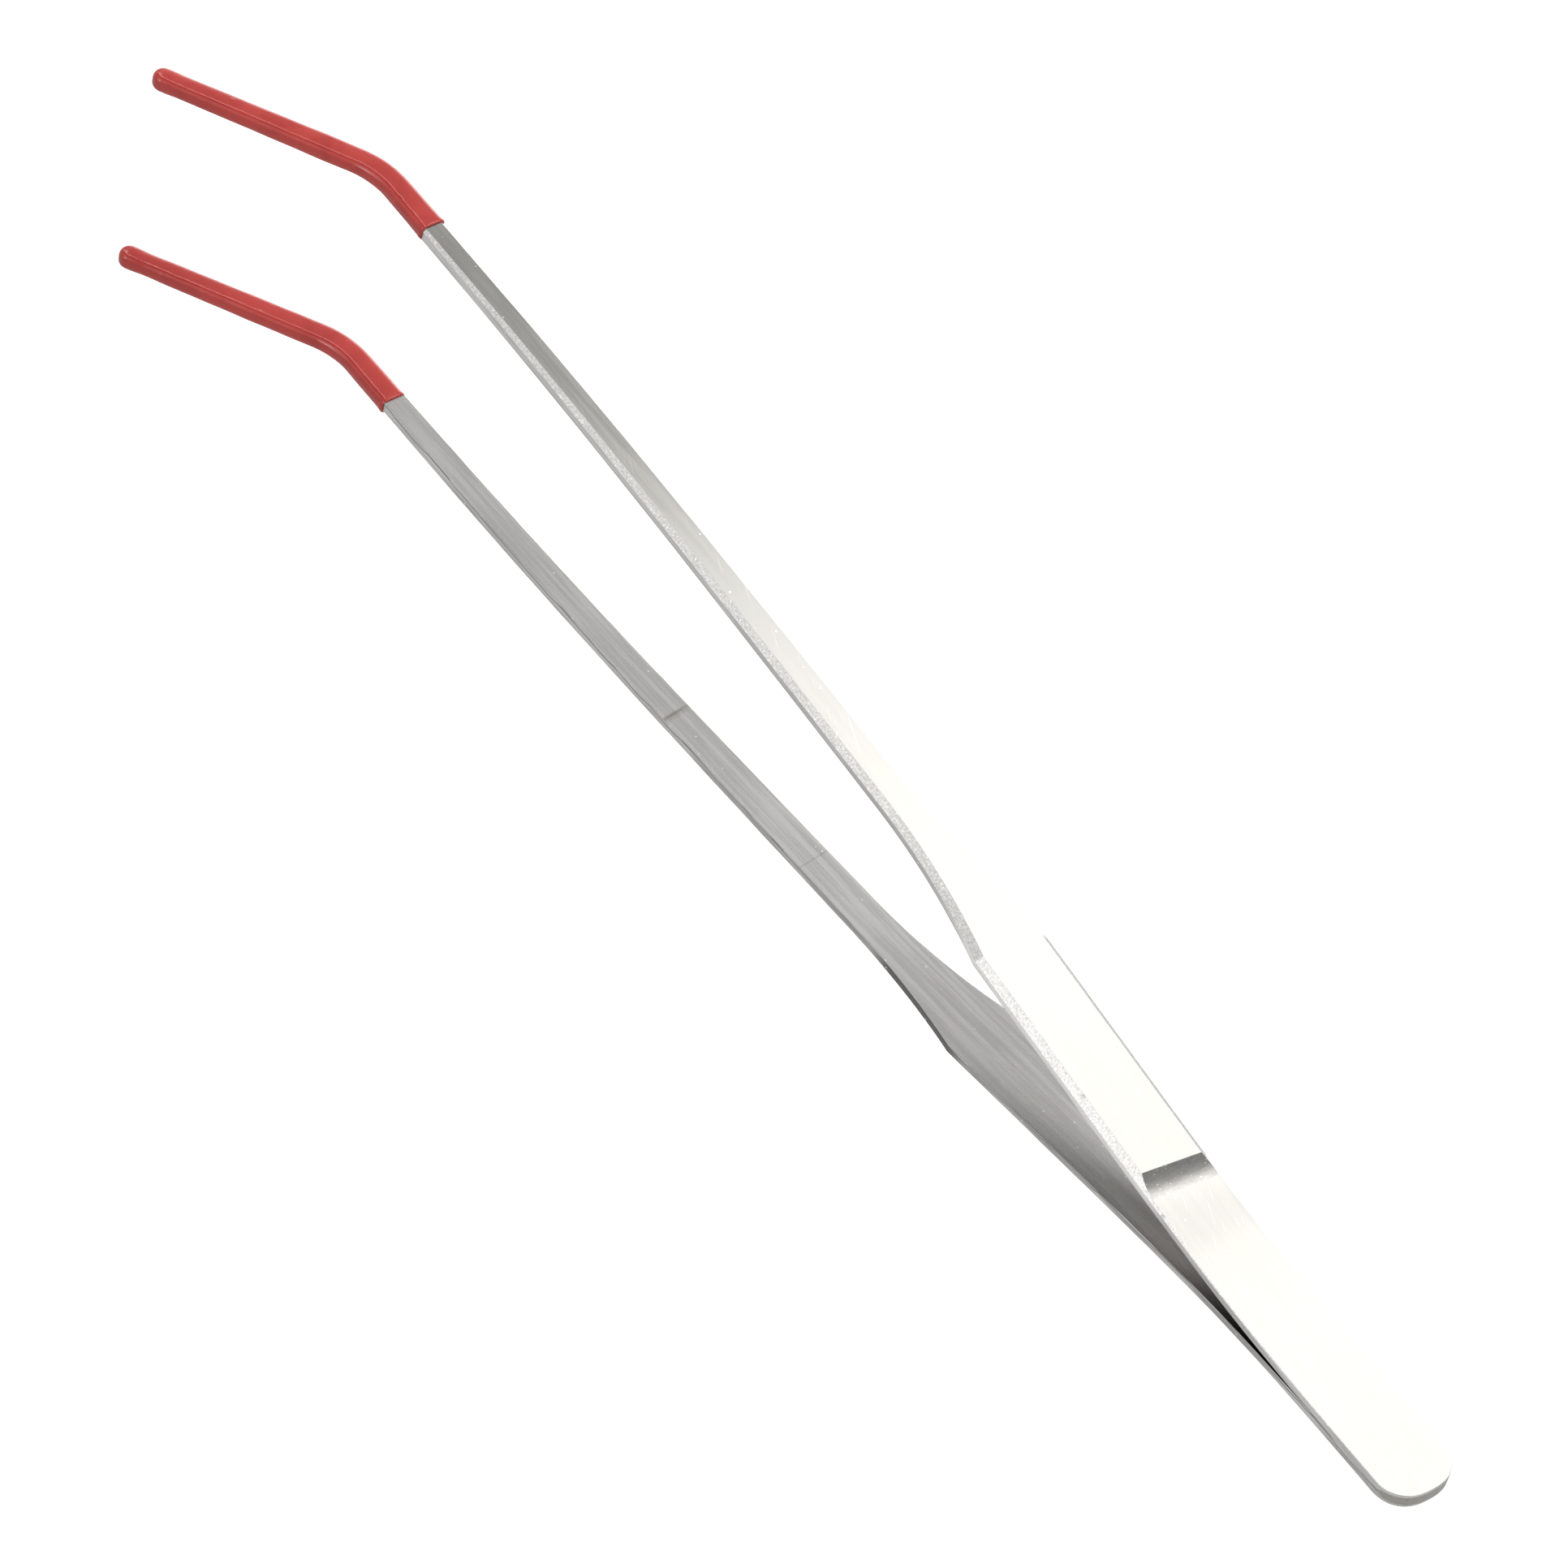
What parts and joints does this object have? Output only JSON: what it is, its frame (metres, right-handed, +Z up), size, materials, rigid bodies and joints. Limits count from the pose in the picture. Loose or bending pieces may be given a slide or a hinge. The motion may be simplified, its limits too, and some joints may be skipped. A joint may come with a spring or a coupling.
{
  "type": "aquascaping tweezers",
  "caption": "Long stainless spring tweezers with a flat handle, bowed tapering arms and curved tips dipped in red vinyl, for planting in aquariums.",
  "frame": {"origin": "centre of the bounding box at its base, where the lower edges of the handles lie on a flat surface", "axes": "+X runs along the tweezers from the butt to the tips, +Y is the opening direction on the left leaf's side, +Z is up along the leaves' width, the way the tips curve"},
  "size_m": [0.2702, 0.0394, 0.0249],
  "materials": {
    "leaf_steel": "satin ground stainless, bead-blasted bevels",
    "weld_metal": "weld ground flush, faint straw heat tint",
    "dipped_vinyl": "glossy red vinyl dip"
  },
  "bodies": {
    "butt": {"left_leaf_butt": "leaf_steel", "right_leaf_butt": "leaf_steel", "butt_weld": "weld_metal"},
    "left_arm": {"left_leaf_arm": "leaf_steel", "left_tip_coating": "dipped_vinyl"},
    "right_arm": {"right_leaf_arm": "leaf_steel", "right_tip_coating": "dipped_vinyl"}
  },
  "joints": [
    {"name": "left_spring", "type": "hinge", "parent": "butt", "child": "left_arm", "pos_m": [-0.10118, 0.00139, 0.00565], "axis": [0, 0, -1], "range_deg": [0, 4.1], "stiffness_Nm_per_rad": 7.3},
    {"name": "right_spring", "type": "hinge", "parent": "butt", "child": "right_arm", "pos_m": [-0.10118, -0.00139, 0.00565], "axis": [0, 0, 1], "range_deg": [0, 4.1], "stiffness_Nm_per_rad": 7.3}
  ],
  "couplings": [
    {"joint": "right_spring", "follows": "left_spring", "ratio": 1}
  ]
}
